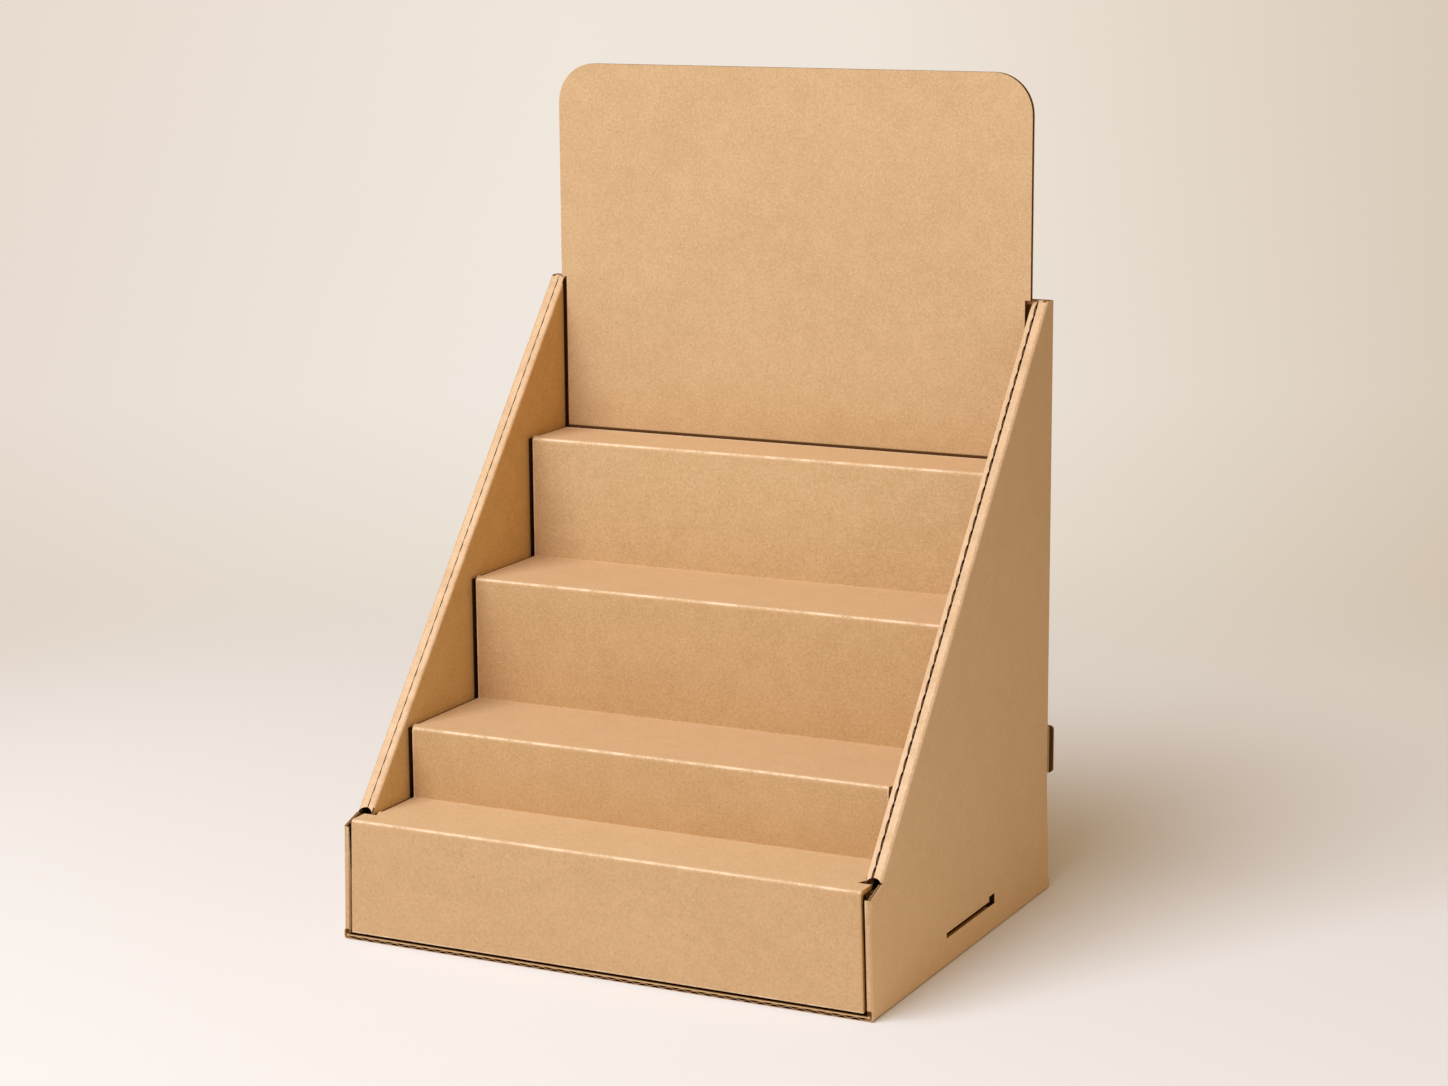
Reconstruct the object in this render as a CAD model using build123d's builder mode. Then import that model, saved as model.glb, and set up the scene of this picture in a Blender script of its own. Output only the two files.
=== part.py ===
from build123d import *
from math import atan2, cos, hypot, sin
import os

# Overall width over the feet of the side walls, and overall height, in millimetres
width = 303.2
height = 444.0

# Corrugated board, its folds and the air between faces that lie together
board = 3.0
play = 0.2
fold_rounding = 1.8

# Steps: height of the front panel, then the rise of each riser and the depth of each tread
panel_height = 65.5
rises = [38.7, 67.3, 67.5]
tread_depths = [49.9, 69.0, 64.9, 43.0]

# Side walls, each an outer and an inner board joined over a slanted rim
wall_height = 324.7
wall_level_top = 9.4
wall_back_corner = 3.0
wall_foot = 5.0
wall_flare = 1.6
front_edge_drop = 4.2
relief_run = 13.3
relief_rise = 4.5
relief_edge = 1.4
relief_crush = 2.6
inner_wall_setback = 14.5

# Rim, crushed thin where the board rolls over, hollow at its lower end, with a line of cuts along it
rim_width = 9.2
rim_thickness = 1.8
rim_rounding = 1.6
arch_rise = 3.2
arch_depth = 3.6
arch_lip = 0.4
inner_strip = 4.2
open_groove = 1.0
open_groove_depth = 1.3
open_cut_bulge = 0.5
closed_groove = 0.4
closed_groove_depth = 0.9
closed_cut_bulge = 0.3
cut_pitch = 8.6
cut_bridge = 1.0

# Front edge of each outer wall, folded back flat on itself
hem_nose = 0.4
hem_crush = 3.4
hem_spread = 5.0
hem_length = 38.0
hem_rounding = 1.5

# Flanges that the walls turn in at the back
outer_flange = 35.0
inner_flange = 30.0
flange_gap = 3.4

# Back flap and its ears
flap_clearance = 0.6
flap_half_width = 135.0
flap_height = 100.0
ear_reach = 1.9
ear_low = 65.0
ear_height = 26.0
ear_rounding = 2.0

# Hand slots in the outer walls, each a slit with a notch at its rear end
slit_setback = 93.7
slit_length = 65.5
slit_low = 14.5
slit_height = 2.8
notch_length = 7.5
notch_height = 5.5

# Tabs that lock the inner walls into the bottom panel
tab_length = 40.0
tab_setback = 55.0
tab_spacing = 110.0

# Open flutes along the raw front edge of the bottom panel, whose upper liner is rolled over them
liner = 0.35
rolled_liner = 1.1
flute_pitch = 7.3
flute_web = 1.9
flute_rise = 1.0
flute_depth = 2.0

# Step insert
crease_rounding = 2.2
valley_rounding = 0.6
leg_rounding = 3.4
riser_side_gap = 3.1
panel_bottom = 4.1
panel_side_gap = 1.6
shoulder_setback = 12.7
foot_flap = 45.0
tread_flap_drop = 28.0
tread_flap_setback = 7.0
tread_flap_rounding = 3.2

# Header card
card_corner = 22.0
card_side_gap = 2.6
card_shoulder = 0.5

# Places that follow from the sizes above
wall_depth = sum(tread_depths) + flange_gap + 3 * board + play
total_depth = wall_depth + flap_clearance + board
front = -total_depth / 2
back = front + wall_depth
card_front = front + sum(tread_depths)
card_back = card_front + board
insert_back = card_front - play
foot_face = width / 2
outer_face = foot_face - wall_flare
outer_inside = outer_face - board
inner_face = outer_face - rim_width
inner_outside = inner_face + board
hem_gap = (rim_width - 3 * board) / 2
front_edge_height = panel_height - front_edge_drop
rim_front = front + relief_run
rim_low = front_edge_height + relief_rise
rim_back = back - wall_level_top
rim_slope = atan2(wall_height - rim_low, rim_back - rim_front)
rim_length = hypot(wall_height - rim_low, rim_back - rim_front)
cut_length = cut_pitch - cut_bridge
flute_chord = flute_pitch - flute_web
flare_at_foot = wall_flare * (1 - wall_foot / front_edge_height)
flare_height = front_edge_height - wall_foot
rim_end = Plane(
    origin=(0, rim_front, rim_low),
    x_dir=(1, 0, 0),
    z_dir=(0, cos(rim_slope), sin(rim_slope)),
)
rim_surface = Plane(
    origin=(0, rim_front, rim_low),
    x_dir=(0, cos(rim_slope), sin(rim_slope)),
    z_dir=(0, -sin(rim_slope), cos(rim_slope)),
)

# The side view that trims both boards of a side wall under the rim
with BuildSketch() as wall_outline:
    with BuildLine():
        Polyline(
            (front, 0),
            (front, front_edge_height),
            (rim_front, rim_low),
            (rim_front + rim_thickness * sin(rim_slope), rim_low - rim_thickness * cos(rim_slope)),
            (rim_back + rim_thickness / sin(rim_slope), wall_height),
            (back, wall_height),
            (back, 0),
            close=True,
        )
    make_face()
    fillet(wall_outline.vertices().group_by(Axis.Y)[-1].sort_by(Axis.X)[-1], wall_back_corner)

# Plan of an outer wall above its flare: turned in at the back, rounded at its folded front edge
with BuildSketch() as outer_wall:
    with BuildLine():
        FilletPolyline(
            (outer_face - outer_flange, back),
            (outer_face, back),
            (outer_face, front),
            radius=fold_rounding,
        )
        offset(amount=board, side=Side.RIGHT, closed=True)
    make_face()
    fillet(outer_wall.vertices().group_by(Axis.Y)[0].sort_by(Axis.X)[-1], hem_rounding)

# Plan of the board turned back at that edge, crushed at the fold and full thickness behind it
with BuildSketch() as hem:
    with BuildLine():
        Polyline(
            (outer_face - hem_rounding, front + hem_spread),
            (outer_face - hem_rounding, front),
            (outer_inside - hem_nose, front),
            (outer_inside - hem_nose, front + hem_crush),
            (inner_outside + hem_gap, front + hem_crush + hem_spread),
            (inner_outside + hem_gap, front + hem_length),
            (outer_inside - hem_gap, front + hem_length),
            (outer_inside - hem_gap, front + hem_crush + hem_spread),
            (outer_inside, front + hem_spread),
            close=True,
        )
    make_face()
    fillet(hem.vertices().group_by(Axis.Y)[0].sort_by(Axis.X)[0], hem_rounding)

# The shell: bottom panel, double side walls and back flap from one sheet
with BuildPart() as shell:
    # Right half of the bottom panel with the fold up into the outer wall
    with BuildSketch(Plane.XZ.offset(-back)):
        with BuildLine():
            FilletPolyline(
                (0, 0),
                (foot_face, 0),
                (outer_face, front_edge_height),
                radius=fold_rounding,
            )
            offset(amount=board, side=Side.LEFT, closed=True)
        make_face()
    extrude(amount=wall_depth)
    split(bisect_by=Plane.XY.offset(wall_foot), keep=Keep.BOTTOM)

    # Outer wall with its folded front edge, leaning in over the flare and upright above it
    with BuildSketch(Plane((flare_at_foot, 0, wall_foot))):
        add(outer_wall.sketch_local)
        add(hem.sketch_local)
    extrude(amount=hypot(flare_at_foot, flare_height), dir=(-flare_at_foot, 0, flare_height))
    with BuildSketch(Plane.XY.offset(front_edge_height)):
        add(outer_wall.sketch_local)
    extrude(amount=wall_height - front_edge_height)

    # Inner wall in plan, turned in behind the header card
    with BuildSketch(Plane.XY.offset(board + play)):
        with BuildLine():
            FilletPolyline(
                (inner_outside - inner_flange, card_back + play + board),
                (inner_outside, card_back + play + board),
                (inner_outside, front + inner_wall_setback),
                radius=fold_rounding,
            )
            offset(amount=board, side=Side.RIGHT, closed=True)
        make_face()
    extrude(amount=wall_height - board - play)

    # Both boards are trimmed to the side view
    with BuildSketch(Plane.YZ):
        add(wall_outline.sketch_local)
    extrude(amount=foot_face, mode=Mode.INTERSECT)

    # Slanted rim that joins the two boards, rounded along both edges and cut off level at the top
    with BuildSketch(rim_end) as rim:
        with Locations(((inner_face + outer_face) / 2, 0)):
            Rectangle(rim_width, rim_thickness, align=(Align.CENTER, Align.MIN))
        fillet(rim.vertices().group_by(Axis.Y)[0], rim_rounding)
    extrude(amount=rim_length + wall_level_top)
    with BuildSketch(Plane.XY.offset(wall_height)):
        with Locations((0, front)):
            Rectangle(width, total_depth, align=(Align.CENTER, Align.MIN))
    extrude(amount=wall_level_top, mode=Mode.SUBTRACT)

    # The lower end of the rim is an open arch over the gap between the boards
    with BuildSketch(rim_surface):
        with BuildLine():
            Line((0, arch_lip - outer_face), (0, -arch_lip - inner_face))
            SagittaArc((0, -arch_lip - inner_face), (0, arch_lip - outer_face), arch_rise)
        make_face()
    extrude(amount=-arch_depth, mode=Mode.SUBTRACT)

    # The cut edge in front of it is crushed thin on its inner side
    with BuildSketch(Plane.YZ.offset(outer_inside)):
        with BuildLine():
            Polyline(
                (front + hem_crush, front_edge_height - relief_crush),
                (rim_front + arch_depth * sin(rim_slope), rim_low - arch_depth * cos(rim_slope)),
                (rim_front, rim_low),
                (front + hem_crush, rim_low),
                close=True,
            )
        make_face()
    extrude(amount=board - relief_edge, mode=Mode.SUBTRACT)

    # Hand slot through the outer wall
    with BuildSketch(Plane.YZ.offset(outer_inside)):
        with Locations((front + slit_setback, slit_low)):
            Rectangle(slit_length, slit_height, align=(Align.MIN, Align.MIN))
        with Locations((front + slit_setback + slit_length, slit_low)):
            Rectangle(notch_length, notch_height, align=(Align.MAX, Align.MIN))
    extrude(amount=board + wall_flare, mode=Mode.SUBTRACT)

    # Slots in the bottom panel, and the tabs of the inner wall that stand in them
    tab_place = ((inner_face + inner_outside) / 2, front + tab_setback + (tab_length + tab_spacing) / 2)
    with BuildSketch():
        with Locations(tab_place):
            with GridLocations(board, tab_spacing, 1, 2):
                Rectangle(board + 2 * play, tab_length + 2 * play)
    extrude(amount=board, mode=Mode.SUBTRACT)
    with BuildSketch(Plane.XY.offset(play)):
        with Locations(tab_place):
            with GridLocations(board, tab_spacing, 1, 2):
                Rectangle(board, tab_length)
    extrude(amount=board)

    # Back flap folded up from the bottom panel, with an ear beyond the side wall
    with BuildSketch(Plane.YZ):
        with BuildLine():
            FilletPolyline(
                (back - board, 0),
                (back + flap_clearance + board, 0),
                (back + flap_clearance + board, flap_height),
                radius=fold_rounding,
            )
            offset(amount=board, side=Side.LEFT, closed=True)
        make_face()
    extrude(amount=flap_half_width)
    with BuildSketch(Plane.XZ.offset(-back - flap_clearance - board)) as ear:
        with Locations((flap_half_width, ear_low)):
            Rectangle(outer_face + ear_reach - flap_half_width, ear_height, align=(Align.MIN, Align.MIN))
        fillet(ear.vertices().group_by(Axis.X)[-1], ear_rounding)
    extrude(amount=board)

    mirror(about=Plane.YZ)

    # Rim line: a groove with cuts through its floor, gaping in the right rim and pressed shut in the left
    for side, groove, depth, bulge in (
        (1, open_groove, open_groove_depth, open_cut_bulge),
        (-1, closed_groove, closed_groove_depth, closed_cut_bulge),
    ):
        line_place = -side * (inner_face + inner_strip)
        with BuildSketch(rim_surface):
            with Locations((rim_length / 2, line_place + side * groove / 2)):
                Rectangle(rim_length + 2 * wall_level_top, groove)
        extrude(amount=-depth, mode=Mode.SUBTRACT)
        with BuildSketch() as crescent:
            with BuildLine():
                Polyline(
                    (cut_length / 2, side * groove),
                    (cut_length / 2, 0),
                    (-cut_length / 2, 0),
                    (-cut_length / 2, side * groove),
                )
                SagittaArc((-cut_length / 2, side * groove), (cut_length / 2, side * groove), side * bulge)
            make_face()
        with BuildSketch(rim_surface):
            with Locations((rim_length / 2, line_place)):
                with GridLocations(cut_pitch, board, int(rim_length / cut_pitch), 1):
                    add(crescent.sketch_local)
        extrude(amount=-rim_thickness, mode=Mode.SUBTRACT)

    # Open flutes between the liners, one row against each, half a pitch apart
    flutes = 2 * int((foot_face - board) / flute_pitch)
    upper_row = board - rolled_liner
    for count, row_height, rise in ((flutes, liner, flute_rise), (flutes + 1, upper_row, -flute_rise)):
        with BuildSketch() as flute:
            with BuildLine():
                Line((flute_chord / 2, 0), (-flute_chord / 2, 0))
                SagittaArc((-flute_chord / 2, 0), (flute_chord / 2, 0), rise)
            make_face()
        with BuildSketch(Plane.XZ.offset(-front)):
            with Locations((0, row_height)):
                with GridLocations(flute_pitch, board, count, 1):
                    add(flute.sketch_local)
        extrude(amount=-flute_depth, mode=Mode.SUBTRACT)

# Side view of the step insert, along its visible face and back through the board
riser_half_width = inner_face - riser_side_gap
tread_half_width = inner_face - play
panel_half_width = foot_face - board - hem_nose - panel_side_gap
with BuildSketch() as steps:
    with BuildLine():
        place, level = front, panel_height
        corners = [(place, panel_bottom), (place, level)]
        roundings = [crease_rounding]
        tread_levels = [level]
        tread_fronts = [front]
        for depth, rise in zip(tread_depths, rises):
            place += depth
            corners += [(place, level), (place, level + rise)]
            roundings += [valley_rounding, crease_rounding]
            level += rise
            tread_levels.append(level)
            tread_fronts.append(place)
        corners += [
            (insert_back, level),
            (insert_back, board + play),
            (insert_back - foot_flap, board + play),
        ]
        roundings += [leg_rounding, leg_rounding]
        FilletPolyline(*corners, radius=roundings)
        offset(amount=board, side=Side.RIGHT, closed=True)
    make_face()

# The step insert: front panel, treads, risers and rear leg from one sheet
with BuildPart() as step_insert:
    with BuildSketch(Plane.YZ):
        add(steps.sketch_local)
    extrude(amount=riser_half_width)

    # The front panel and the first of the tread reach past the inner walls, and widen with the flare
    with BuildSketch(Plane.YZ):
        add(steps.sketch_local)
        with Locations((front, 0)):
            Rectangle(shoulder_setback, height, align=(Align.MIN, Align.MIN), mode=Mode.INTERSECT)
    extrude(amount=panel_half_width)
    with BuildSketch(Plane.XZ.offset(-front)):
        with BuildLine():
            Polyline(
                (panel_half_width, panel_bottom),
                (panel_half_width - wall_flare, panel_height),
                (panel_half_width, panel_height),
                close=True,
            )
        make_face()
    extrude(amount=-shoulder_setback, mode=Mode.SUBTRACT)

    # Behind its crease each tread widens on a slant, then turns down beside the inner wall
    flap_fronts = [front + shoulder_setback] + tread_fronts[1:]
    flap_backs = tread_fronts[1:] + [insert_back - leg_rounding]
    for start, end, level in zip(flap_fronts, flap_backs, tread_levels):
        with BuildSketch(Plane.XY.offset(level - board)):
            with BuildLine():
                Polyline(
                    (riser_half_width, start + play),
                    (tread_half_width, start + tread_flap_setback),
                    (riser_half_width, start + tread_flap_setback),
                    close=True,
                )
            make_face()
        extrude(amount=board)
        with BuildSketch(Plane.XZ.offset(-end)):
            with BuildLine():
                FilletPolyline(
                    (riser_half_width - tread_flap_rounding, level),
                    (tread_half_width, level),
                    (tread_half_width, level - tread_flap_drop),
                    radius=tread_flap_rounding,
                )
                offset(amount=board, side=Side.RIGHT, closed=True)
            make_face()
        extrude(amount=end - start - tread_flap_setback)

    mirror(about=Plane.YZ)

# The header card stands behind the steps, its shoulders on the level tops of the walls
with BuildPart() as header_card:
    tongue_half_width = inner_face - card_side_gap
    upper_half_width = inner_face + card_shoulder
    shoulder_height = wall_height + play
    with BuildSketch(Plane.XZ.offset(-card_back)) as card:
        with Locations((0, board + play)):
            Rectangle(2 * tongue_half_width, height - board - play, align=(Align.CENTER, Align.MIN))
        with Locations((0, shoulder_height)):
            Rectangle(2 * upper_half_width, height - shoulder_height, align=(Align.CENTER, Align.MIN))
        fillet(card.vertices().group_by(Axis.Y)[-1], card_corner)
    extrude(amount=board)

os.makedirs("parts", exist_ok=True)
shell.part.label = "shell"
step_insert.part.label = "step_insert"
header_card.part.label = "header_card"
export_step(shell.part, "parts/shell.step")
export_step(step_insert.part, "parts/step_insert.step")
export_step(header_card.part, "parts/header_card.step")
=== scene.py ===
import math
from functools import reduce

import bpy
import numpy as np
from mathutils import Matrix

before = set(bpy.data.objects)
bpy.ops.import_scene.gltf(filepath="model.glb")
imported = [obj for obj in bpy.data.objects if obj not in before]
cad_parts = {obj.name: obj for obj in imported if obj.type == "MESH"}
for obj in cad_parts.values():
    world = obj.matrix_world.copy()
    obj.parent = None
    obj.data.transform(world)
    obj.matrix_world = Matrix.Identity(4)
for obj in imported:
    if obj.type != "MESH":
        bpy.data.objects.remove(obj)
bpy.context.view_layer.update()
print("display stand: frame loaded", sorted(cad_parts))


# A socket that can stand in a sum: every operator adds one Math node to the same finish
class Wire:
    def __init__(self, finish, socket):
        self.finish = finish
        self.socket = socket

    def math(self, operation, *others):
        return self.finish.add("ShaderNodeMath", {"operation": operation}, dict(enumerate([self, *others])))

    def __add__(self, other):
        return self.math("ADD", other)

    def __sub__(self, other):
        return self.math("SUBTRACT", other)

    def __rsub__(self, other):
        return self.finish.add("ShaderNodeMath", {"operation": "SUBTRACT"}, {0: other, 1: self})

    def __mul__(self, other):
        return self.math("MULTIPLY", other)

    def __truediv__(self, other):
        return self.math("DIVIDE", other)

    def __rtruediv__(self, other):
        return self.finish.add("ShaderNodeMath", {"operation": "DIVIDE"}, {0: other, 1: self})

    def __abs__(self):
        return self.math("ABSOLUTE")

    def __lt__(self, other):
        return self.math("LESS_THAN", other)

    def __gt__(self, other):
        return self.math("GREATER_THAN", other)

    __radd__ = __add__
    __rmul__ = __mul__

    def smaller(self, other):
        return self.math("MINIMUM", other)

    def larger(self, other):
        return self.math("MAXIMUM", other)

    # 1 from low to high, 0 elsewhere
    def within(self, low, high):
        return (self > low) * (self < high)

    # A soft step from first, below low, to last, above high
    def step(self, low, high, first, last):
        settings = {"interpolation_type": "SMOOTHSTEP", "clamp": True}
        return self.finish.add("ShaderNodeMapRange", settings, {0: self, 1: low, 2: high, 3: first, 4: last})

    def rise(self, low, high):
        return self.step(low, high, 0.0, 1.0)

    def fall(self, low, high):
        return self.step(low, high, 1.0, 0.0)


# One procedural material: its nodes all come from add, which takes a type, its settings and its sockets
class Finish:
    def __init__(self, name, **constants):
        self.material = bpy.data.materials.new(name)
        self.material.use_nodes = True
        self.nodes = self.material.node_tree.nodes
        self.links = self.material.node_tree.links
        self.shader = self.nodes["Principled BSDF"]
        for socket, value in constants.items():
            self.shader.inputs[socket.replace("_", " ")].default_value = value

    def add(self, kind, settings, sockets, out=0):
        node = self.nodes.new(kind)
        for setting, value in settings.items():
            if setting == "stops":
                ramp = node.color_ramp
                while len(ramp.elements) < len(value):
                    ramp.elements.new(1.0)
                for element, (position, colour) in zip(ramp.elements, value):
                    element.position = position
                    element.color = (*colour, 1.0)
            else:
                setattr(node, setting, value)
        for socket, value in sockets.items():
            self.feed(node.inputs[socket], value)
        return Wire(self, node.outputs[out])

    def feed(self, socket, value):
        if isinstance(value, Wire):
            self.links.new(value.socket, socket)
        else:
            socket.default_value = value

    def mix(self, factor, first, second, blend="MIX"):
        first = first if isinstance(first, Wire) else (*first, 1.0)
        second = second if isinstance(second, Wire) else (*second, 1.0)
        settings = {"data_type": "RGBA", "blend_type": blend}
        return self.add("ShaderNodeMix", settings, {0: factor, 6: first, 7: second}, out=2)

    # Where the mask is 1, the colour times the tint
    def tinted(self, mask, colour, tint):
        return self.mix(mask, colour, tint, blend="MULTIPLY")

    # A colour or place times a factor
    def scaled(self, vector, factor):
        return self.add("ShaderNodeVectorMath", {"operation": "SCALE"}, {0: vector, "Scale": factor})

    def ramp(self, stops, share):
        return self.add("ShaderNodeValToRGB", {"stops": stops}, {0: share})

    def objectPlace(self):
        return self.add("ShaderNodeTexCoord", {}, {}, out=3)

    # Noise of features about size metres across, in places stretched along the axes
    def noise(self, place, size, detail=2.0, stretch=(1.0, 1.0, 1.0), shift=0.0, roughness=0.5):
        mapping = {"Vector": place, "Location": (shift, shift, shift), "Scale": stretch}
        moved = self.add("ShaderNodeMapping", {}, mapping)
        sockets = {"Vector": moved, "Scale": 1.0 / size, "Detail": detail, "Roughness": roughness}
        return self.add("ShaderNodeTexNoise", {}, sockets)

    def split(self, vector):
        return {axis: self.add("ShaderNodeSeparateXYZ", {}, {0: vector}, out=i) for i, axis in enumerate("xyz")}

    # The place on the piece in millimetres, x counted outwards from the middle and side from left to right
    def millimetres(self, place):
        parts = self.split(self.scaled(place, 1000.0))
        return {**parts, "side": parts["x"], "x": abs(parts["x"])}

    # How squarely the surface faces each axis, either way
    def facing(self):
        normal = self.add("ShaderNodeTexCoord", {}, {}, out=1)
        return {axis: abs(part) for axis, part in self.split(normal).items()}

    def paint(self, **sockets):
        for socket, value in sockets.items():
            self.feed(self.shader.inputs[socket.replace("_", " ")], value)
        return self.material


# 1 inside a box that gives a low and a high bound for some of the axes
def inBox(mm, box):
    return reduce(Wire.__mul__, [mm[axis].within(*bounds) for axis, bounds in box.items()])


# Depth under a rounded corner, from the depths behind its two faces: behind the rounding it is the smaller
# of the two, and within it the rounding less the distance from the rounding's centre
def cornerDepth(first, second, rounding):
    inFirst = (rounding - first).larger(0.0)
    inSecond = (rounding - second).larger(0.0)
    rounded = rounding - (inFirst * inFirst + inSecond * inSecond).math("SQRT")
    return rounded + (first.smaller(second) - rounding).larger(0.0)


# What a user would change about the board's look. Colours are linear, the sizes of the texture are in
# metres, and the board and its flutes in millimetres
kraft = {
    "dark": (0.545, 0.362, 0.196),
    "light": (0.675, 0.474, 0.286),
    # crease is a painted highlight on creases, cut edges, folds and the top tread's back edge, in places partly
    # liner worn or stretched pale
    "crease": (0.90, 0.735, 0.55),
    "rim": (0.80, 0.605, 0.42),
    "shade": (0.42, 0.245, 0.105),
    "rawLiner": (0.46, 0.285, 0.135),
    "medium": (0.25, 0.135, 0.055),
    # hollow, gap and deep are painted shade for hollows, gaps and recesses where hardly any light gets in
    "hollow": (0.100, 0.038, 0.008),
    "gap": (0.100, 0.034, 0.006),
    "deep": (0.028, 0.009, 0.002),
    # crushed is the crushed raw end at the insert's shoulders, painted lighter as if lit
    "crushed": (0.62, 0.37, 0.115),
    "fleck": (0.20, 0.11, 0.05),
    "size": {
        "cloud": 0.045, "patch": 0.011, "mottle": 0.0035, "grain": 0.0015,
        "fibre": 0.0009, "speck": 0.0011, "fleck": 0.0065,
    },
    "tone": {"cloud": 0.45, "patch": 0.52, "mottle": 0.5, "grain": 1.3, "fibre": 0.3, "speck": 0.35},
    "height": {"mottle": 0.3, "grain": 0.6, "fibre": 0.35, "speck": 0.6},
    "fibreLength": 0.16,
    "fibreStep": (0.66, 0.8),
    "paleSpecks": (0.64, 0.74),
    "darkSpecks": (0.25, 0.35),
    "fleckEdge": (0.03, 0.09),
    "fleckShare": (0.55, 0.95),
    "fleckStrength": 0.5,
    "board": 3.0,
    "flutePitch": 7.3,
    "waveHeight": 0.31,
    "waveEdge": (0.07, 0.16),
    "linerEdges": ((0.10, 0.17), (0.83, 0.90)),
    "roughness": 0.88,
    "specular": 0.05,
    "bump": 0.00022,
    "edgeFacing": 0.6,
    "faceFacing": 0.7,
}


def kraftFinish(name):
    return Finish(name, Roughness=kraft["roughness"], Specular_IOR_Level=kraft["specular"])


# The kraft surface: clouds, patches, mottle, grain, short fibres both ways, specks and a few dark flecks,
# as strong as strength says
def kraftSurface(finish, place, strength):
    size, tones, heights = kraft["size"], kraft["tone"], kraft["height"]
    cloud = finish.noise(place, size["cloud"], 3.0)
    patch = finish.noise(place, size["patch"], 3.0, shift=4.0)
    mottle = finish.noise(place, size["mottle"], 3.0, shift=9.0, roughness=0.65)
    grain = finish.noise(place, size["grain"], 2.0, shift=7.0, roughness=0.7)
    along = kraft["fibreLength"]
    fibreUp = finish.noise(place, size["fibre"], 1.0, stretch=(1.0, 1.0, along), shift=2.0)
    fibreAcross = finish.noise(place, size["fibre"], 1.0, stretch=(along, along, 1.0), shift=5.0)
    fibres = fibreUp.rise(*kraft["fibreStep"]) + fibreAcross.rise(*kraft["fibreStep"])
    speck = finish.noise(place, size["speck"], 0.0, shift=12.0)
    specks = (speck.rise(*kraft["paleSpecks"]) - speck.fall(*kraft["darkSpecks"])) * tones["speck"]
    texture = fibres * tones["fibre"] + specks
    for name, layer in (("cloud", cloud), ("patch", patch), ("mottle", mottle), ("grain", grain)):
        texture = texture + (layer - 0.5) * tones[name]
    colour = finish.mix((0.5 + texture * strength).rise(0.0, 1.0), kraft["dark"], kraft["light"])
    cells = {"Vector": place, "Scale": 1.0 / size["fleck"], "Randomness": 1.0}
    near = finish.add("ShaderNodeTexVoronoi", {"feature": "F1"}, cells, out=0)
    pick = finish.add("ShaderNodeTexVoronoi", {"feature": "F1"}, cells, out=1)
    chosen = finish.add("ShaderNodeSeparateColor", {}, {0: pick}, out=0)
    flecks = near.fall(*kraft["fleckEdge"]) * chosen.rise(*kraft["fleckShare"]) * kraft["fleckStrength"]
    colour = finish.mix(flecks, colour, kraft["fleck"])
    height = grain * heights["grain"] + mottle * heights["mottle"]
    height = height + fibres * heights["fibre"] + specks * heights["speck"]
    return colour, height * strength, grain, patch


# Wear and painted highlights that come and go along an edge: a share of the patches, a share of the grain and a
# least amount
def unevenness(patch, grain, look):
    patches = patch.rise(*look["patch"]) * look["patchShare"]
    return patches + grain.rise(*look["grain"]) * look["grainShare"] + look["least"]


# The section that a raw edge shows: light liners, a brown wave between them and hollows in painted shade.
# depth runs from one liner to the other, and the wave is a sine of the place along the flutes' pitch
def rawSection(finish, depth, along):
    share = depth / kraft["board"]
    wave = (along * (2 * math.pi / kraft["flutePitch"])).math("SINE") * kraft["waveHeight"] + 0.5
    nearLiner, farLiner = kraft["linerEdges"]
    liners = share.fall(*nearLiner) + share.rise(*farLiner)
    colour = finish.mix(abs(share - wave).fall(*kraft["waveEdge"]), kraft["hollow"], kraft["medium"])
    return finish.mix(liners, colour, kraft["rawLiner"])


# Adds up the zones where raw edges show: the mask, the depth across the board and the place along its waves
def rawZones(zones, mm, facing):
    masks, depths, places = [], [], []
    for faces, across, liner, waves, box in zones:
        mask = (facing[faces] > kraft["edgeFacing"]) * inBox(mm, box)
        masks.append(mask)
        depths.append(mask * abs(mm[across] - liner))
        places.append(mask * mm[waves])
    return [reduce(Wire.__add__, parts) for parts in (masks, depths, places)]


def finishPiece(piece, finish, colour, height):
    normal = finish.add("ShaderNodeBump", {}, {"Strength": 1.0, "Distance": kraft["bump"], "Height": height})
    piece.material_slots[0].material = finish.paint(Base_Color=colour, Normal=normal)


# The header card: its edges are raw all round, with upright flutes
headerLook = {
    "texture": 0.8,
    "tint": (1.03, 1.05, 1.035),
    "frontFace": 105.3,
    "edgeFacing": 0.5,
    "edgeShade": 0.45,
    "footLine": (239.7, 240.5),
    "footDepth": 0.3,
    "footShadowColour": (0.105, 0.050, 0.018),
}


def dressHeader(piece):
    finish = kraftFinish("headerKraft")
    place = finish.objectPlace()
    colour, height = kraftSurface(finish, place, headerLook["texture"])[:2]
    mm, facing = finish.millimetres(place), finish.facing()
    # Painted light: the whole card is made a little lighter
    colour = finish.tinted(1.0, colour, headerLook["tint"])
    # A painted shadow line where the card stands behind the top tread
    behindFront = mm["y"] - headerLook["frontFace"]
    foot = mm["z"].fall(*headerLook["footLine"]) * (behindFront < headerLook["footDepth"])
    colour = finish.mix(foot, colour, headerLook["footShadowColour"])
    # The raw edges show their section, darkened with painted shade
    section = finish.mix(headerLook["edgeShade"], rawSection(finish, behindFront, mm["side"]), kraft["gap"])
    raw = facing["y"] < headerLook["edgeFacing"]
    finishPiece(piece, finish, finish.mix(raw, colour, section), height)
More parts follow.
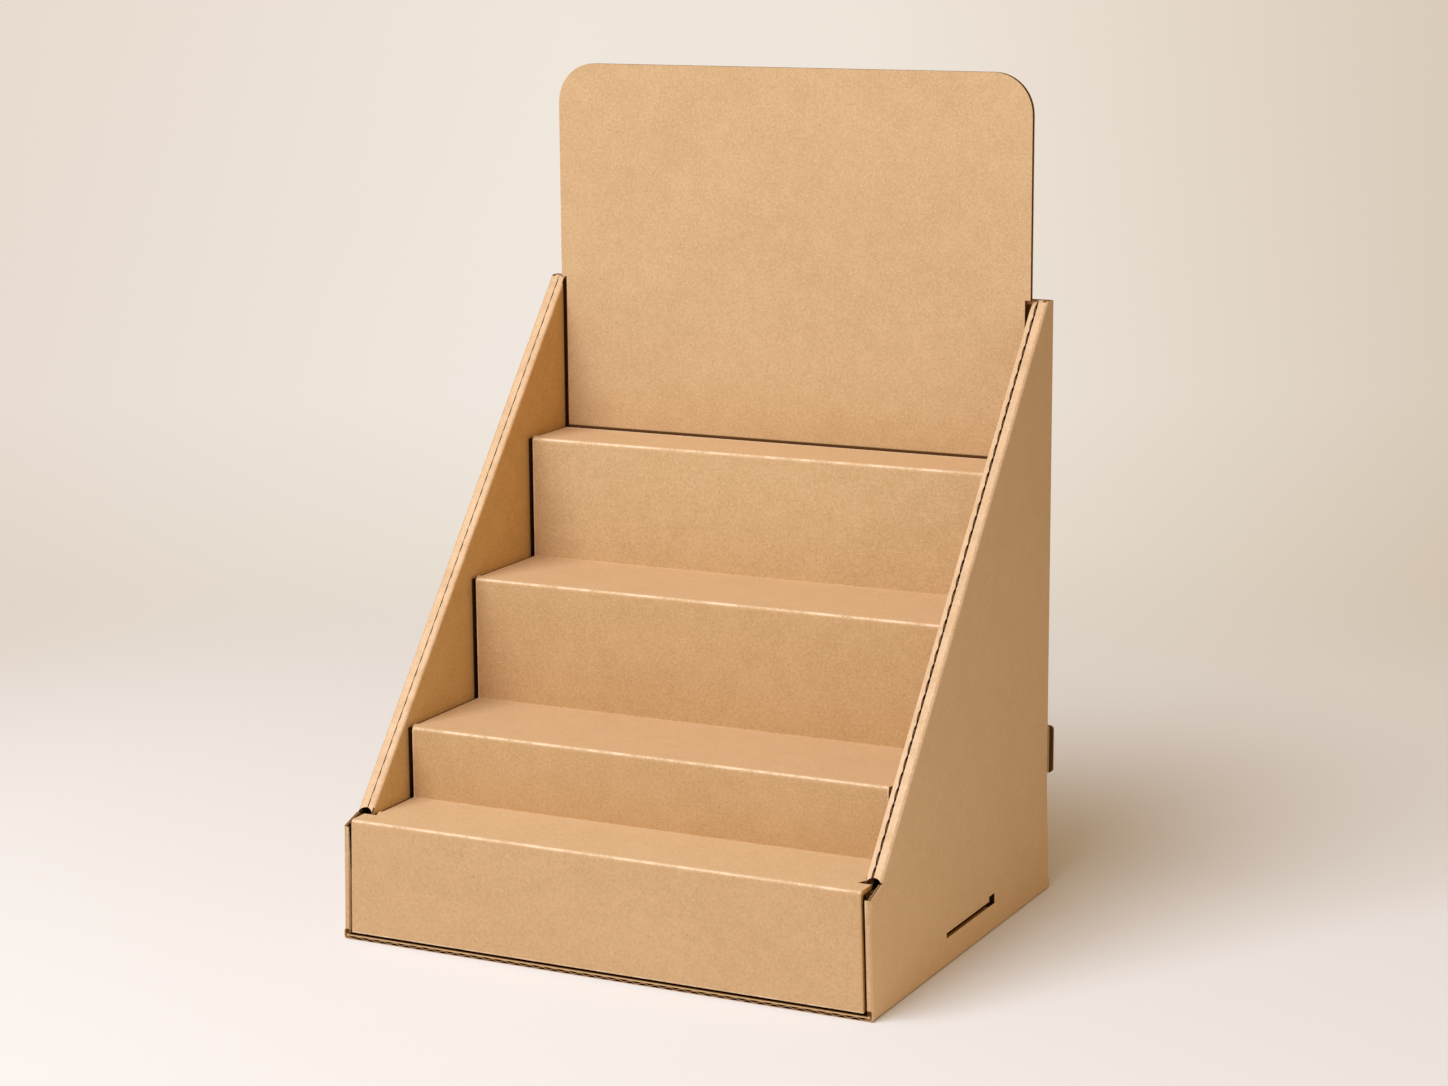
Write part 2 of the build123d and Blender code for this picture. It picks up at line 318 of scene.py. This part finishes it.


# The step insert: lighter along each crease, a painted highlight partly of liner stretched pale, raw at its
# side edges.
# Tints by place are painted light and shade: the risers low in the stand are warmer, and the top one and the
# first tread are lighter
stepLook = {
    "texture": {"risers": 0.82, "treads": 0.45, "panel": 0.6},
    "tints": {
        "lowRisers": (0.975, 0.955, 0.885),
        "topRiser": (1.03, 1.06, 1.03),
        "firstTread": (1.04, 1.07, 1.08),
        "panel": (0.995, 0.975, 0.930),
    },
    "fronts": (-121.5, -71.6, -2.6, 62.3),
    "levels": (65.5, 104.2, 171.5, 239.0),
    "levelMargin": 1.0,
    "rounding": 2.2,
    "uneven": {
        "patch": (0.35, 0.65), "patchShare": 0.65, "grain": (0.3, 0.7), "grainShare": 0.45, "least": 0.1,
    },
    "creaseInset": 0.64,
    "creaseReach": (0.25, 1.0),
    "creaseHeight": 0.4,
    "sideEdges": 137.0,
    "flapFaces": (139.5, 142.0),
    "shoulderEdges": 143.5,
    "shadedEdge": (2.0, 2.6),
    "riserEdge": (136.7, 137.4),
    "riserSide": 138.0,
    "riserStart": -100.0,
    "panelFront": -119.0,
    "panelFoot": (4.3, 5.0),
    "panelFlare": 0.026,
    "panelCurl": (143.4, 145.4),
    "curlShadeStrength": 0.55,
    "wornHighlightStrength": 0.7,
    "backEdge": (100.0, 101.6),
    "backMargin": 0.5,
    "backHighlightStrength": 0.6,
}


def dressSteps(piece):
    finish = kraftFinish("stepKraft")
    place = finish.objectPlace()
    mm, facing = finish.millimetres(place), finish.facing()
    levels = stepLook["levels"]
    onPanel = mm["y"] < stepLook["panelFront"]
    upright = facing["y"] > kraft["edgeFacing"]
    sideways = facing["x"] > kraft["edgeFacing"]

    risers, treads, panel = (stepLook["texture"][zone] for zone in ("risers", "treads", "panel"))
    strength = risers + (treads - risers) * (facing["z"] > kraft["faceFacing"])
    strength = strength + (panel - risers) * onPanel * (facing["y"] > kraft["faceFacing"])
    colour, height, grain, patch = kraftSurface(finish, place, strength)
    zones = {
        "lowRisers": upright * (mm["z"] < levels[2]) * (1.0 - onPanel),
        "topRiser": upright * (mm["z"] > levels[2]),
        "firstTread": (facing["z"] > kraft["edgeFacing"]) * (mm["z"] < levels[0] + stepLook["levelMargin"]),
        "panel": upright * onPanel,
    }
    # Painted light and shade by place
    for zone, mask in zones.items():
        colour = finish.tinted(mask, colour, stepLook["tints"][zone])

    # Distance from the nearest crease, and depth into the folded board
    creases, depths = [], []
    for front, level in zip(stepLook["fronts"], levels):
        back, down = mm["y"] - front, level - mm["z"]
        inBack, inDown = back - stepLook["creaseInset"], down - stepLook["creaseInset"]
        creases.append((inBack * inBack + inDown * inDown).math("SQRT"))
        depths.append(cornerDepth(back, down, stepLook["rounding"]))
    crease, depth = reduce(Wire.smaller, creases), reduce(Wire.larger, depths)
    uneven = unevenness(patch, grain, stepLook["uneven"])
    # A painted highlight in a band along each crease, partly liner stretched pale; the band also raises the
    # bump
    creaseBand = crease.fall(*stepLook["creaseReach"]) * uneven
    colour = finish.mix(creaseBand, colour, kraft["crease"])

    # The cut side edges of the risers and the lower edge of the panel get a painted highlight, partly worn pale
    wornHighlight = mm["x"].rise(*stepLook["riserEdge"]) * (mm["x"] < stepLook["riserSide"])
    wornHighlight = wornHighlight * (mm["y"] > stepLook["riserStart"]) + mm["z"].fall(*stepLook["panelFoot"]) * onPanel
    colour = finish.mix(wornHighlight * upright * uneven * stepLook["wornHighlightStrength"], colour, kraft["crease"])
    # The right edge of the panel, which flares a little downwards, is darkened with painted shade as if it
    # curled back
    flared = mm["x"] + (mm["z"] - levels[0]) * stepLook["panelFlare"]
    curlShade = flared.rise(*stepLook["panelCurl"]) * onPanel * upright * (mm["side"] > 0.0)
    colour = finish.mix(curlShade * stepLook["curlShadeStrength"], colour, kraft["shade"])
    # The flaps under the treads show only through the arch, where they lie in the dark, painted as hollow shade
    onFlap = mm["x"].within(*stepLook["flapFaces"])
    colour = finish.mix(sideways * onFlap * (depth > stepLook["shadedEdge"][1]), colour, kraft["hollow"])
    # A painted highlight along the back edge of the top tread
    backHighlight = mm["y"].rise(*stepLook["backEdge"]) * (mm["z"] > levels[-1] - stepLook["backMargin"])
    colour = finish.mix(backHighlight * stepLook["backHighlightStrength"], colour, kraft["crease"])

    # The raw side edges show their section; the crushed shoulder ends are painted lighter as if lit, and deep
    # in the board the section is painted shade
    section = rawSection(finish, depth, mm["side"])
    section = finish.mix(mm["x"] > stepLook["shoulderEdges"], section, kraft["crushed"])
    section = finish.mix(depth.rise(*stepLook["shadedEdge"]), section, kraft["gap"])
    raw = sideways * (mm["x"] > stepLook["sideEdges"]) * (1.0 - onFlap)
    finishPiece(piece, finish, finish.mix(raw, colour, section), height + creaseBand * stepLook["creaseHeight"])


# The shell: crushed pale rims with dashed cuts, softened folds, raw edges where the sheet was cut, and painted
# light and shade.
# Each raw zone gives the axis that it faces, the axis across the board with the place of one liner, the
# axis that its waves follow, and its box
wallTop = (324.0, 325.0)
shellLook = {
    "texture": {"walls": 0.75, "outside": 0.35},
    "uneven": {"patch": (0.3, 0.7), "patchShare": 0.45, "grain": (0.3, 0.7), "grainShare": 0.3, "least": 0.4},
    "rim": {
        "front": (-108.2, 65.8), "slope": math.radians(50.07), "length": 337.6, "reach": (0.5, 2.2),
        "inside": 140.3, "below": 3.0, "strength": (0.95, 0.45), "height": 0.5,
    },
    "dash": {
        "pitch": 8.6, "line": 148.9, "width": (0.12, 0.3), "bridge": (0.12, 0.2), "depth": 0.4, "strength": 0.6,
    },
    "outerFace": 150.0,
    "outerFrom": 149.5,
    "innerFace": (140.0, 141.5),
    "insideTint": {"low": (1.02, 1.03, 0.85), "high": (0.93, 0.82, 0.54), "between": (60.0, 260.0)},
    "outsideTint": (0.97, 0.99, 0.98),
    "outsideFade": {"start": 1.12, "back": -0.0006, "up": -0.0003},
    "rawZones": (
        ("z", "x", 150.0, "z", {"x": (146.8, 150.3), "z": wallTop}),
        ("z", "x", 140.8, "z", {"x": (140.5, 143.9), "z": wallTop}),
        ("z", "y", 117.9, "z", {"x": (0.0, 146.8), "y": (114.8, 118.0), "z": wallTop}),
        ("z", "y", 108.5, "z", {"x": (0.0, 140.5), "y": (108.4, 111.6), "z": wallTop}),
        ("x", "y", 117.9, "z", {"x": (113.0, 115.6), "y": (114.8, 118.0)}),
        ("x", "y", 108.5, "z", {"x": (113.0, 114.4), "y": (108.4, 111.6)}),
        ("z", "x", 146.9, "z", {"x": (143.0, 146.9), "y": (-121.6, -83.0), "z": (60.5, 62.0)}),
        ("z", "y", 121.5, "side", {"x": (0.0, 135.3), "y": (118.4, 121.6), "z": (99.5, 100.5)}),
        ("x", "y", 121.5, "side", {"x": (134.8, 152.5), "y": (118.4, 121.6), "z": (3.0, 101.0)}),
        ("z", "y", 121.5, "side", {"x": (135.0, 152.5), "y": (118.4, 121.6), "z": (64.0, 92.0)}),
        ("y", "z", 0.0, "side", {"x": (135.0, 151.0), "y": (117.0, 118.4), "z": (0.1, 2.95)}),
    ),
    "ear": {
        "box": {"x": (150.2, 160.0), "y": (118.3, 121.6), "z": (60.0, 95.0)}, "liner": (120.2, 120.9),
        "colours": ((0.075, 0.045, 0.012), (0.62, 0.49, 0.30)),
    },
    "slot": {
        "box": {"x": (146.8, 151.2), "y": (-28.5, 38.2), "z": (14.0, 20.5)},
        "lit": (148.9, 149.6), "end": 29.8,
        "colours": ((0.045, 0.022, 0.007), (0.44, 0.225, 0.070)),
    },
    "press": {"y": (-24.0, 30.0), "from": 17.3, "reach": (0.6, 3.2), "strength": 0.10},
    "besideSteps": {"start": (0.3, 1.5), "end": (6.0, 10.0)},
    "besideCard": {"y": (105.6, 109.0), "x": (112.0, 141.5), "z": (-1.0, 323.5)},
    "betweenWalls": {"x": (143.6, 147.2), "under": 0.5, "above": 1.0},
    "arch": {
        "along": (-0.5, 3.6), "under": (0.25, 5.0), "x": (140.9, 149.3), "innerBoard": 143.9,
        "colours": ((0.20, 0.100, 0.038), (0.014, 0.007, 0.003)),
    },
    "relief": {
        "box": {"x": (146.7, 149.93), "y": (-121.3, -105.0), "z": (57.5, 66.5)},
        "facing": 0.4, "side": 148.4, "foot": 61.2,
        "stops": (
            (0.00, (0.46, 0.285, 0.135)),
            (0.08, (0.46, 0.285, 0.135)),
            (0.13, (0.15, 0.075, 0.028)),
            (0.33, (0.15, 0.075, 0.028)),
            (0.38, (0.42, 0.260, 0.120)),
            (0.46, (0.42, 0.260, 0.120)),
            (0.50, (0.020, 0.010, 0.005)),
        ),
    },
    "foot": {
        "face": 151.6, "rounding": 1.8, "top": 5.6, "front": -121.3, "turn": 148.7, "behindFold": (0.3, 1.6),
        "pockets": {"y": (-121.3, -119.0), "z": (0.3, 2.0), "x": (-1.0, 149.0)},
        "underPanel": {"y": (-130.0, -114.0), "z": (2.9, 3.1)},
        "stops": (
            (0.00, (0.60, 0.430, 0.310)),
            (0.13, (0.60, 0.430, 0.310)),
            (0.16, (0.28, 0.155, 0.075)),
            (0.58, (0.28, 0.155, 0.075)),
            (0.66, (0.62, 0.425, 0.225)),
            (0.84, (0.62, 0.425, 0.225)),
            (0.90, (0.100, 0.038, 0.008)),
        ),
    },
    "foldLine": {"x": 147.2, "before": 0.3, "width": 0.5, "front": -120.4, "strength": 0.6},
}


# Pale rims with their dashed cuts, and the walls' painted light and shade. It also gives back the places along
# and under the rim's plane and where the rim is
def paintWalls(finish, colour, mm, inner, outer, uneven):
    rim, dash, fade, tint = (shellLook[part] for part in ("rim", "dash", "outsideFade", "insideTint"))
    startY, startZ = rim["front"]
    sine, cosine = math.sin(rim["slope"]), math.cos(rim["slope"])
    under = (mm["y"] - startY) * sine - (mm["z"] - startZ) * cosine
    along = (mm["y"] - startY) * cosine + (mm["z"] - startZ) * sine
    onRim = under.fall(*rim["reach"]) * (mm["x"] > rim["inside"]) * (mm["z"] > startZ - rim["below"])
    low, high = rim["strength"]
    strength = low + (high - low) * (along / rim["length"])

    # Painted light and shade: the inner walls are warmer, and the outer faces lighter towards the front and low
    # down
    warm = finish.mix(mm["z"].rise(*tint["between"]), tint["low"], tint["high"])
    colour = finish.tinted(inner, colour, warm)
    faded = finish.tinted(1.0, colour, shellLook["outsideTint"])
    faded = finish.scaled(faded, fade["start"] + mm["y"] * fade["back"] + mm["z"] * fade["up"])
    colour = finish.mix(outer * (1.0 - onRim), colour, faded)
    colour = finish.mix(onRim * uneven * strength, colour, kraft["rim"])

    # Dashed cuts pressed shut near the outer edge of the rim
    dashes = (along / dash["pitch"]).math("FRACT").rise(*dash["bridge"])
    line = abs(mm["x"] - dash["line"]).fall(*dash["width"]) * (under < dash["depth"]) * dashes
    colour = finish.mix(line * uneven * dash["strength"], colour, kraft["shade"])
    return colour, along, under, onRim


# The end of the back flap's ear and the hand slot
def paintOpenings(finish, colour, mm, facing, outer):
    ear, slot, press = (shellLook[part] for part in ("ear", "slot", "press"))
    # The ear's end shows its open core in painted shade, and the liner behind it gets a painted highlight
    colour = finish.mix(inBox(mm, ear["box"]), colour, finish.mix(mm["y"].rise(*ear["liner"]), *ear["colours"]))
    # The slot is painted shade inside, except its lower cut face, which is lit, and the liner above the slot
    # gets painted shade, as if pressed in a little
    lit = (facing["z"] > kraft["edgeFacing"]) * mm["x"].rise(*slot["lit"]) * (mm["y"] < slot["end"])
    colour = finish.mix(inBox(mm, slot["box"]) * (1.0 - outer), colour, finish.mix(lit, *slot["colours"]))
    above = mm["z"] - press["from"]
    pressShade = outer * mm["y"].within(*press["y"]) * (above > 0.0) * above.fall(*press["reach"])
    return finish.mix(pressShade * press["strength"], colour, kraft["shade"])


# Painted shade in narrow gaps beside the steps, behind the card and between the walls, where hardly any light
# gets in
def paintGaps(finish, colour, mm, facing, inner, under):
    start, end = shellLook["besideSteps"]["start"], shellLook["besideSteps"]["end"]
    corners = zip(stepLook["fronts"], stepLook["levels"])
    hidden = reduce(Wire.larger, [(mm["y"] - front).smaller(level - mm["z"]) for front, level in corners])
    beside = hidden.rise(*start) * hidden.fall(*end) * inner
    colour = finish.mix(beside.larger(inBox(mm, shellLook["besideCard"])), colour, kraft["gap"])
    walls = shellLook["betweenWalls"]
    deep = (under > walls["under"]).larger(mm["z"] < shellLook["rim"]["front"][1] + walls["above"])
    between = (facing["x"] > kraft["edgeFacing"]) * mm["x"].within(*walls["x"]) * deep
    return finish.mix(between, colour, kraft["deep"])


# Under the arch at the rim's lower end the inner board's raw edge shows with a hollow in painted shade beside
# it. The crushed edge in front of it is two liners pressed together on the medium, with a hollow inside; the
# hollow and what lies behind it are painted shade
def paintArch(finish, colour, mm, facing, along, under):
    arch, relief = shellLook["arch"], shellLook["relief"]
    open = along.within(*arch["along"]) * under.within(*arch["under"]) * mm["x"].within(*arch["x"])
    colour = finish.mix(open, colour, finish.mix(mm["x"] > arch["innerBoard"], *arch["colours"]))
    onSide = (facing["x"] > kraft["edgeFacing"]) * (mm["x"] > relief["side"]) * (mm["z"] > relief["foot"])
    edge = inBox(mm, relief["box"]) * (facing["z"] > relief["facing"]).larger(onSide)
    share = (shellLook["outerFace"] - mm["x"]) / kraft["board"]
    return finish.mix(edge, colour, finish.ramp(relief["stops"], share))


# The bottom's front edge is modelled open: its liners stay light as they turn up, its flutes are dark, and its
# flute pockets and its top, in the gap under the panel, are painted shade
def paintFoot(finish, colour, mm, facing, uneven):
    foot, line = shellLook["foot"], shellLook["foldLine"]
    inward = foot["face"] - mm["x"]
    edge = (facing["y"] > kraft["faceFacing"]) * (mm["y"] < foot["front"]) * (mm["z"] < foot["top"])
    depth = cornerDepth(inward, mm["z"], foot["rounding"])
    colour = finish.mix(edge, colour, finish.ramp(foot["stops"], depth / kraft["board"]))
    # Above it the wall's edge lies in the dark behind the fold, painted as shade
    above = edge * (mm["z"] > kraft["board"]) * (mm["x"] > foot["turn"]) * inward.rise(*foot["behindFold"])
    colour = finish.mix(above, colour, kraft["hollow"])
    # Painted shade in the flute pockets and on the bottom's top face under the panel
    underPanel = (facing["z"] > kraft["faceFacing"]) * inBox(mm, foot["underPanel"])
    colour = finish.mix(inBox(mm, foot["pockets"]).larger(underPanel), colour, kraft["deep"])
    # The fold of the outer wall beside the panel gets a painted highlight, partly worn pale
    outward = mm["x"] - line["x"]
    wornHighlight = outward.fall(0.0, line["width"]) * (outward > -line["before"]) * (mm["y"] < line["front"])
    wornHighlight = wornHighlight * mm["z"].within(foot["top"], shellLook["relief"]["foot"])
    return finish.mix(wornHighlight * uneven * line["strength"], colour, kraft["crease"])


def dressShell(piece):
    finish = kraftFinish("shellKraft")
    place = finish.objectPlace()
    mm, facing = finish.millimetres(place), finish.facing()
    sideways = facing["x"] > kraft["faceFacing"]
    inner = sideways * mm["x"].within(*shellLook["innerFace"])
    outer = sideways * (mm["x"] > shellLook["outerFrom"])
    walls, outside = shellLook["texture"]["walls"], shellLook["texture"]["outside"]
    colour, height, grain, patch = kraftSurface(finish, place, walls + (outside - walls) * outer)
    uneven = unevenness(patch, grain, shellLook["uneven"])
    colour, along, under, onRim = paintWalls(finish, colour, mm, inner, outer, uneven)
    mask, depth, waves = rawZones(shellLook["rawZones"], mm, facing)
    colour = finish.mix(mask, colour, rawSection(finish, depth, waves))
    colour = paintOpenings(finish, colour, mm, facing, outer)
    colour = paintGaps(finish, colour, mm, facing, inner, under)
    colour = paintArch(finish, colour, mm, facing, along, under)
    colour = paintFoot(finish, colour, mm, facing, uneven)
    finishPiece(piece, finish, colour, height + onRim * uneven * shellLook["rim"]["height"])


print("display stand: kraft board")
dressHeader(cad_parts["header_card"])
dressSteps(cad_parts["step_insert"])
dressShell(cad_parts["shell"])


# Puts a camera or lamp in the scene: its right side along side, and looking away from back
def addAimed(name, data, side, back, place):
    matrix = np.eye(4)
    matrix[:3, :3] = np.stack([side, np.cross(back, side), back], axis=1)
    matrix[:3, 3] = place
    aimed = bpy.data.objects.new(name, data)
    aimed.matrix_world = Matrix(matrix.tolist())
    bpy.context.scene.collection.objects.link(aimed)
    return aimed


# The camera stands where the photograph was taken from
cameraLook = {
    "place": (0.75774, -1.49851, 0.54460),
    "forward": (-0.43643, 0.87726, -0.19985),
    "right": (0.89591, 0.44419, -0.00668),
    "lens": 81.1,
    "sensor": 36.0,
}


def makeCamera():
    data = bpy.data.cameras.new("photoCamera")
    data.lens = cameraLook["lens"]
    data.sensor_width = cameraLook["sensor"]
    back = -np.array(cameraLook["forward"])
    camera = addAimed("photoCamera", data, np.array(cameraLook["right"]), back, cameraLook["place"])
    bpy.context.scene.camera = camera


# Soft lamps round the stand, each a square area lamp aimed at a point above the middle of its footprint
lampTarget = (0.0, 0.0, 0.2)
lamps = {
    "key": {
        "azimuth": -25.0, "elevation": 54.0, "distance": 2.7, "size": 2.2,
        "power": 72.0, "colour": (1.0, 1.02, 1.07),
    },
    "fill": {
        "azimuth": 72.0, "elevation": 7.0, "distance": 3.0, "size": 1.6,
        "power": 8.0, "colour": (1.0, 0.84, 0.66),
    },
}


def makeLamps():
    for name, lamp in lamps.items():
        data = bpy.data.lights.new(name + "Lamp", "AREA")
        data.shape = "SQUARE"
        data.size = lamp["size"]
        data.energy = lamp["power"]
        data.color = lamp["colour"]
        turn, rise = math.radians(lamp["azimuth"]), math.radians(lamp["elevation"])
        back = np.array([math.sin(turn) * math.cos(rise), -math.cos(turn) * math.cos(rise), math.sin(rise)])
        side = np.cross([0.0, 0.0, 1.0], back)
        side /= np.linalg.norm(side)
        light = addAimed(name + "Lamp", data, side, back, back * lamp["distance"] + np.array(lampTarget))
        light.visible_camera = False


# The studio: one wide pale floor that fades into a painted backdrop far behind, as a studio sweep does.
# The backdrop's rows run up from the horizon and its sides from left to right, both as the camera sees them
studio = {
    "radius": 60.0,
    "rings": 70,
    "spokes": 96,
    "floor": (0.81, 0.855, 0.905),
    "fade": (0.45, 1.05),
    "nearest": 0.5,
    "rowsReach": 0.35,
    "sidesReach": 0.46,
    "backdropRows": (
        (0.00, (0.863, 0.783, 0.701)),
        (0.10, (0.870, 0.795, 0.715)),
        (0.45, (0.877, 0.813, 0.741)),
        (0.68, (0.800, 0.730, 0.634)),
        (0.80, (0.840, 0.770, 0.690)),
    ),
    "backdropSides": (
        (0.00, (0.92, 0.88, 0.87)),
        (0.40, (1.00, 1.00, 1.00)),
        (0.60, (0.99, 0.98, 0.97)),
        (1.00, (0.80, 0.74, 0.67)),
    ),
    "worldSeen": (0.863, 0.783, 0.701),
    "worldLight": (1.0, 0.66, 0.36),
    "worldStrength": 0.46,
}


# Disc as a function of two parameters: radius grows with the cube of the first, the second is the angle
def makeFloor():
    rings = np.linspace(0.0, 1.0, studio["rings"]) ** 3 * studio["radius"]
    angles = np.linspace(0.0, 2 * math.pi, studio["spokes"], endpoint=False)
    radius, angle = np.meshgrid(rings[1:], angles, indexing="ij")
    points = np.stack([radius * np.cos(angle), radius * np.sin(angle), np.zeros_like(radius)], axis=-1)
    points = np.concatenate([np.zeros((1, 3)), points.reshape(-1, 3)])
    ring = np.arange(studio["rings"] - 2)[:, None] * studio["spokes"] + 1
    spoke = np.arange(studio["spokes"])[None, :]
    after = (spoke + 1) % studio["spokes"]
    outward = studio["spokes"]
    quads = np.stack([ring + spoke, ring + outward + spoke, ring + outward + after, ring + after], axis=-1)
    centre = np.stack([np.zeros(studio["spokes"], int), 1 + spoke[0], 1 + after[0]], axis=-1)
    mesh = bpy.data.meshes.new("studioFloor")
    mesh.from_pydata(points.tolist(), [], quads.reshape(-1, 4).tolist() + centre.tolist())
    floor = bpy.data.objects.new("studioFloor", mesh)
    bpy.context.scene.collection.objects.link(floor)
    return floor


# Near the stand the floor is matt and takes its shadow; far off the camera sees the painted backdrop, which
# glows with painted light and shade
def paintFloor(floor):
    finish = Finish("studioPaper", Roughness=0.95, Specular_IOR_Level=0.0, Base_Color=(*studio["floor"], 1.0))
    place = finish.objectPlace()
    back = (*cameraLook["forward"][:2], 0.0)
    length = math.hypot(*cameraLook["forward"][:2])
    cameraDistance = math.hypot(*cameraLook["place"][:2])
    product = {"operation": "DOT_PRODUCT"}
    depth = finish.add("ShaderNodeVectorMath", product, {0: place, 1: back}, out=1) / length
    aside = finish.add("ShaderNodeVectorMath", product, {0: place, 1: cameraLook["right"]}, out=1)
    away = 1.0 / (depth + cameraDistance).larger(studio["nearest"])
    rows = finish.ramp(studio["backdropRows"], away * cameraLook["place"][2] / studio["rowsReach"])
    sides = finish.ramp(studio["backdropSides"], aside * away / studio["sidesReach"] + 0.5)
    glow = finish.add("ShaderNodeEmission", {}, {"Color": finish.tinted(1.0, rows, sides)})
    spread = finish.add("ShaderNodeVectorMath", {"operation": "LENGTH"}, {0: place}, out=1)
    seen = finish.add("ShaderNodeLightPath", {}, {}, out=0)
    matt = Wire(finish, finish.shader.outputs[0])
    both = finish.add("ShaderNodeMixShader", {}, {0: spread.rise(*studio["fade"]) * seen, 1: matt, 2: glow})
    finish.feed(finish.nodes["Material Output"].inputs[0], both)
    floor.data.materials.append(finish.material)


# The world lights the stand warmly and shows the camera the backdrop's colour
def makeWorld():
    world = bpy.data.worlds.new("studioWorld")
    world.use_nodes = True
    bpy.context.scene.world = world
    nodes, links = world.node_tree.nodes, world.node_tree.links
    light = nodes["Background"]
    light.inputs["Color"].default_value = (*studio["worldLight"], 1.0)
    light.inputs["Strength"].default_value = studio["worldStrength"]
    seen = nodes.new("ShaderNodeBackground")
    seen.inputs["Color"].default_value = (*studio["worldSeen"], 1.0)
    ray = nodes.new("ShaderNodeLightPath")
    choice = nodes.new("ShaderNodeMixShader")
    links.new(ray.outputs["Is Camera Ray"], choice.inputs[0])
    links.new(light.outputs[0], choice.inputs[1])
    links.new(seen.outputs[0], choice.inputs[2])
    links.new(choice.outputs[0], nodes["World Output"].inputs[0])


print("display stand: studio, lamps and camera")
studioFloor = makeFloor()
paintFloor(studioFloor)
makeWorld()
makeLamps()
makeCamera()
bpy.context.scene.view_settings.view_transform = "Standard"
